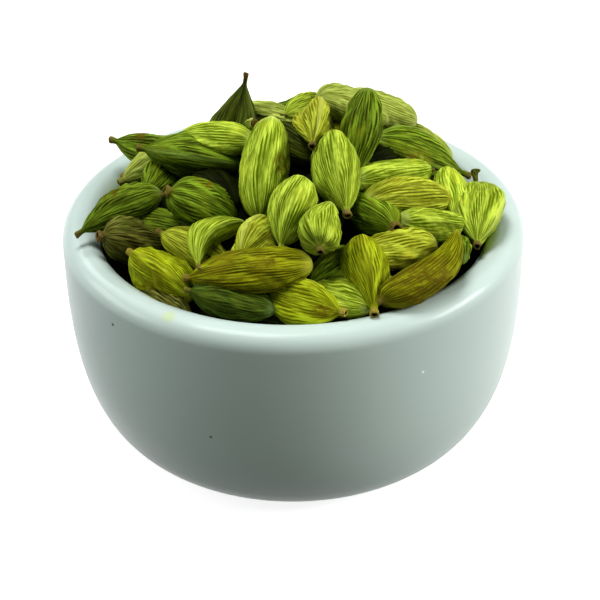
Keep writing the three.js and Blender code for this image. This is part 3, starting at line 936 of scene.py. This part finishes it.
def hang_softbox(light):
    """Hangs a rectangular light that faces the lights' aim: tipped from straight down by the
    angle whose tangent is level distance over drop, then turned towards the aim."""
    lamp = bpy.data.lights.new(light.name, "AREA")
    lamp.shape, lamp.energy, lamp.color = "RECTANGLE", light.power, light.colour
    lamp.size, lamp.size_y = light.size
    softbox = bpy.data.objects.new(light.name, lamp)
    bpy.context.collection.objects.link(softbox)
    softbox.location = light.place
    x, y, z = np.array(LIGHTS_AIM) - np.array(light.place)
    softbox.rotation_euler = (math.atan2(math.hypot(x, y), -z), 0, math.atan2(y, x) - math.pi / 2)


def set_room_light(scene):
    """Gives the scene a faint even light from all round, cool and slightly green."""
    world = bpy.data.worlds.new("studio")
    world.use_nodes = True
    background = world.node_tree.nodes["Background"]
    background.inputs["Color"].default_value = ROOM_COLOUR
    background.inputs["Strength"].default_value = ROOM_STRENGTH
    scene.world = world


def set_camera(scene):
    """Puts the camera at its distance and elevation in front of the lip's middle, turned by
    yaw, tipped down by pitch and rolled about its own view."""
    stage = scene.cardamom_stage
    lens = bpy.data.cameras.new("camera")
    lens.lens, lens.sensor_width, lens.clip_start = stage.lens, SENSOR_WIDTH, NEAREST_SEEN
    camera = bpy.data.objects.new("camera", lens)
    bpy.context.collection.objects.link(camera)
    place = Vector((0, -stage.distance * math.cos(stage.elevation),
                    BOWL_HEIGHT * MM + stage.distance * math.sin(stage.elevation)))
    camera.matrix_world = (
        Matrix.Translation(place) @ Matrix.Rotation(stage.yaw, 4, "Z")
        @ Matrix.Rotation(math.pi / 2 - stage.pitch, 4, "X") @ Matrix.Rotation(stage.roll, 4, "Z")
    )
    scene.camera = camera


class CARDAMOM_OT_stage(bpy.types.Operator):
    """Set up the floor, the lights and the camera"""
    bl_idname = "cardamom.stage"
    bl_label = "Stage"

    def execute(self, context):
        far = FLOOR_HALF_WIDTH
        corners = np.array([[-far, -far, 0], [far, -far, 0], [far, far, 0], [-far, far, 0]])
        acrylic = lit_white_acrylic(tuple(context.scene.cardamom_stage.floor_colour))
        floor = mesh_piece("floor", acrylic, corners, np.array([[0, 1, 2, 3]]),
                           np.zeros((0, 3), int))
        # the floor lights nothing, so the bowl's underside stays in shade
        floor.visible_diffuse = False
        for light in SOFTBOXES:
            hang_softbox(light)
        set_room_light(context.scene)
        set_camera(context.scene)
        context.scene.view_settings.view_transform = "Standard"
        context.scene.view_settings.look = "Medium High Contrast"
        return {"FINISHED"}


class CARDAMOM_PT_panel(bpy.types.Panel):
    """Lists the operators in order"""
    bl_label = "Cardamom bowl"
    bl_space_type = "VIEW_3D"
    bl_region_type = "UI"
    bl_category = "Cardamom"

    def draw(self, context):
        for operator in OPERATORS:
            self.layout.operator(operator.bl_idname)


SETTINGS = {"cardamom_bowl": BowlSettings, "cardamom_heap": HeapSettings,
            "cardamom_stage": StageSettings}
OPERATORS = (CARDAMOM_OT_bowl, CARDAMOM_OT_core, CARDAMOM_OT_pods, CARDAMOM_OT_stage)
CLASSES = (*SETTINGS.values(), *OPERATORS, CARDAMOM_PT_panel)


def register():
    """Registers every class and hangs each group of settings on the scene."""
    for cls in CLASSES:
        bpy.utils.register_class(cls)
    for name, group in SETTINGS.items():
        setattr(bpy.types.Scene, name, bpy.props.PointerProperty(type=group))


def unregister():
    """Takes away what register added."""
    for name in SETTINGS:
        delattr(bpy.types.Scene, name)
    for cls in reversed(CLASSES):
        bpy.utils.unregister_class(cls)


def main():
    """Builds the bowl, its heap and the stage."""
    register()
    bpy.ops.cardamom.bowl()
    bpy.ops.cardamom.core()
    bpy.ops.cardamom.pods()
    bpy.ops.cardamom.stage()


if __name__ == "__main__":
    main()
